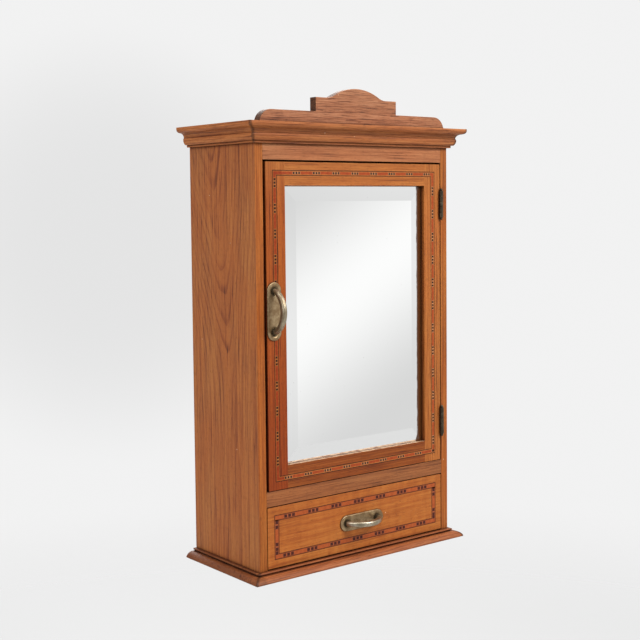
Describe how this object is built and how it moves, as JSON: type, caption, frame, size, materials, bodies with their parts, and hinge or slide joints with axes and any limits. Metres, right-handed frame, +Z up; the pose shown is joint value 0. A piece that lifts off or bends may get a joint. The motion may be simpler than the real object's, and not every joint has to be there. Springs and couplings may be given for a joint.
{
  "type": "medicine cabinet",
  "caption": "Wall-hung wooden cupboard with a moulded cornice and shaped crest, a bevelled mirror door with inlaid banding and bow handle, and a shallow drawer below.",
  "frame": {"origin": "middle of the line between the two wall-screw holes, on the flat back face that lies against the wall", "axes": "+X to the right as seen from the front, +Y back into the wall, +Z up"},
  "size_m": [0.393, 0.187, 0.6675],
  "materials": {
    "case_wood": "satin, worn wax over a reddish brown open-grained hardwood",
    "door_wood": "satin, worn wax over a reddish brown open-grained hardwood",
    "drawer_wood": "satin, worn wax over a reddish brown open-grained hardwood",
    "inner_wood": "bare sawn and planed wood, dull",
    "door_inlay": "satin banding of dark lines, red-brown ground and small black squares",
    "drawer_inlay": "satin banding of dark lines, red-brown ground and brown squares",
    "mirror": "silvered glass with a wide bevel",
    "backing": "thin bare board",
    "handle_metal": "aged, dull grey-green brown, rubbed bright on the bow",
    "brass": "aged, dull",
    "hinge_iron": "blackened, slightly rusty",
    "steel": "dull, aged"
  },
  "bodies": {
    "case": {"side_panel_left": "case_wood", "side_panel_right": "case_wood", "base_board": "case_wood", "top_board": "inner_wood", "floor_board": "inner_wood", "top_rail": "case_wood", "mid_rail": "case_wood", "back_board_left": "inner_wood", "back_board_middle": "inner_wood", "back_board_right": "inner_wood", "hanging_batten": "inner_wood", "cornice_front": "case_wood", "cornice_left": "case_wood", "cornice_right": "case_wood", "crest_board": "case_wood", "shelf_lower": "inner_wood", "shelf_upper": "inner_wood", "shelf_cleat_lower_left": "inner_wood", "shelf_cleat_lower_right": "inner_wood", "shelf_cleat_upper_left": "inner_wood", "shelf_cleat_upper_right": "inner_wood", "drawer_kicker_left": "inner_wood", "drawer_kicker_right": "inner_wood", "drawer_stops": "inner_wood", "door_stop_strip": "case_wood", "door_catch_spring": "brass", "catch_screws": "brass", "cornice_pins": "steel", "base_screws": "steel", "back_nails": "steel", "hinge_upper_case_leaf": "hinge_iron", "hinge_lower_case_leaf": "hinge_iron", "hinge_upper_pin": "hinge_iron", "hinge_lower_pin": "hinge_iron", "hinge_case_screws": "hinge_iron"},
    "door": {"door_stile_handle": "door_wood", "door_stile_hinge": "door_wood", "door_rail_top": "door_wood", "door_rail_bottom": "door_wood", "door_inlay": "door_inlay", "mirror_glass": "mirror", "mirror_backing": "backing", "backing_sprigs": "steel", "hinge_upper_door_leaf": "hinge_iron", "hinge_lower_door_leaf": "hinge_iron", "hinge_door_screws": "hinge_iron", "door_handle_plate": "handle_metal", "door_handle_bow": "handle_metal", "door_handle_screws": "brass"},
    "drawer": {"drawer_front": "drawer_wood", "drawer_side_left": "inner_wood", "drawer_side_right": "inner_wood", "drawer_back": "inner_wood", "drawer_bottom": "inner_wood", "drawer_inlay": "drawer_inlay", "drawer_handle_plate": "handle_metal", "drawer_handle_bow": "handle_metal", "drawer_handle_screws": "brass"}
  },
  "joints": [
    {"name": "door_hinge", "type": "hinge", "parent": "case", "child": "door", "pos_m": [0.1617, -0.1627, -0.2424], "axis": [0, 0, 1], "range_deg": [0, 170]},
    {"name": "drawer_slide", "type": "slide", "parent": "case", "child": "drawer", "axis": [0, -1, 0], "range_m": [0, 0.115]}
  ]
}
